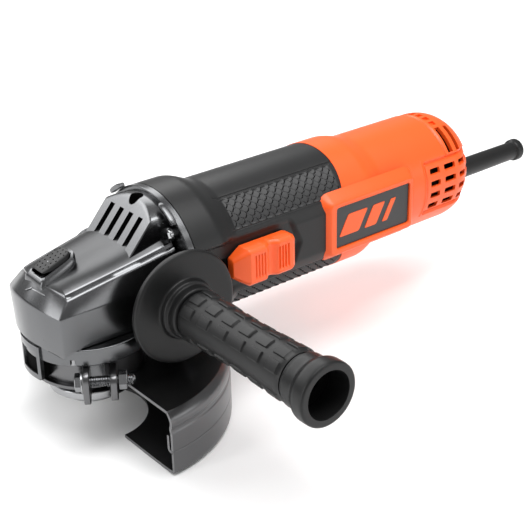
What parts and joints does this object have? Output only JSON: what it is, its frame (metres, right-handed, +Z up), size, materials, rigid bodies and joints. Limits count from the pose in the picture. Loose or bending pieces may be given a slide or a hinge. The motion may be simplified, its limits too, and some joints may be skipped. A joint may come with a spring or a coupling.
{
  "type": "angle grinder",
  "caption": "Corded angle grinder with cast gear head, half-round wheel guard, side handle, slide switch and spindle lock.",
  "frame": {"origin": "centre of the spindle's lower end face", "axes": "+Z up along the spindle axis into the gear head, +X back along the motor to the cord sleeve, side handle fitted on the -Y side"},
  "size_m": [0.324, 0.1992, 0.106],
  "materials": {
    "casting": "satin grey cast alloy, clear highlights on the bevels",
    "guard_steel": "satin dark grey pressed sheet",
    "steel": "turned and zinc plated",
    "black_plastic": "fine moulded satin",
    "orange_plastic": "satin moulded",
    "soft_grip": "soft matt overmould",
    "sleeve_rubber": "matt",
    "badge": "satin inlay",
    "copper": "enamelled copper wire",
    "brass": "bright brass",
    "carbon": "pressed carbon",
    "laminate": "stacked electrical sheet"
  },
  "bodies": {
    "housing": {"gear_case": "casting", "gear_cover": "casting", "front_bearing": "steel", "rear_bearing": "steel", "lower_bearing": "steel", "upper_bearing": "steel", "lock_spring": "steel", "brush_spring_top": "steel", "brush_spring_bottom": "steel", "cord_clamp_screw_1": "steel", "cord_clamp_screw_2": "steel", "gear_cover_screw_1": "steel", "gear_cover_screw_2": "steel", "gear_cover_screw_3": "steel", "gear_cover_screw_4": "steel", "gear_case_screw_1": "steel", "gear_case_screw_2": "steel", "gear_case_screw_3": "steel", "gear_case_screw_4": "steel", "motor_housing": "black_plastic", "air_baffle": "black_plastic", "brush_bridge": "black_plastic", "switch_body": "black_plastic", "cord_clamp": "black_plastic", "cord_clamp_base": "black_plastic", "rear_housing": "orange_plastic", "cord_sleeve": "sleeve_rubber", "badge_left": "badge", "badge_right": "badge", "field_coil_top": "copper", "field_coil_bottom": "copper", "brush_holder_top": "brass", "brush_holder_bottom": "brass", "brush_top": "carbon", "brush_bottom": "carbon", "field_core": "laminate"},
    "spindle": {"spindle": "steel", "bevel_gear": "steel", "inner_flange": "steel"},
    "clamp_nut": {"clamp_nut": "steel"},
    "armature": {"armature_shaft": "steel", "rotor_core": "laminate", "rotor_winding_front": "copper", "rotor_winding_rear": "copper", "commutator": "copper", "fan": "black_plastic", "pinion": "steel"},
    "lock": {"lock_button": "black_plastic", "lock_pin": "steel"},
    "slider": {"switch_slider": "orange_plastic", "switch_link": "black_plastic"},
    "guard": {"guard": "guard_steel", "guard_cover": "guard_steel", "guard_clamp_bolt": "steel", "guard_clamp_nut": "steel"},
    "side_handle": {"handle_stud": "steel", "handle_body": "black_plastic", "handle_grip": "soft_grip"}
  },
  "joints": [
    {"name": "spindle_spin", "type": "hinge", "parent": "housing", "child": "spindle", "pos_m": [0, 0, 0], "axis": [0, 0, 1], "continuous": true},
    {"name": "armature_spin", "type": "hinge", "parent": "housing", "child": "armature", "pos_m": [0, 0, 0.0555], "axis": [1, 0, 0], "continuous": true},
    {"name": "clamp_nut_unscrew", "type": "slide", "parent": "spindle", "child": "clamp_nut", "axis": [0, 0, -1], "range_m": [0, 0.012]},
    {"name": "lock_press", "type": "slide", "parent": "housing", "child": "lock", "axis": [0, 0, -1], "range_m": [0, 0.0035], "stiffness_N_per_m": 600, "springref_m": -0.002, "deforming": ["lock_spring"]},
    {"name": "switch_slide", "type": "slide", "parent": "housing", "child": "slider", "axis": [-1, 0, 0], "range_m": [0, 0.007], "stiffness_N_per_m": 500, "springref_m": -0.002},
    {"name": "guard_turn", "type": "hinge", "parent": "housing", "child": "guard", "pos_m": [0, 0, 0], "axis": [0, 0, 1], "range_deg": [-120, 55]},
    {"name": "side_handle_unscrew", "type": "slide", "parent": "housing", "child": "side_handle", "axis": [0, -1, 0], "range_m": [0, 0.02]}
  ],
  "couplings": [
    {"joint": "armature_spin", "follows": "spindle_spin", "ratio": 3.7273}
  ]
}
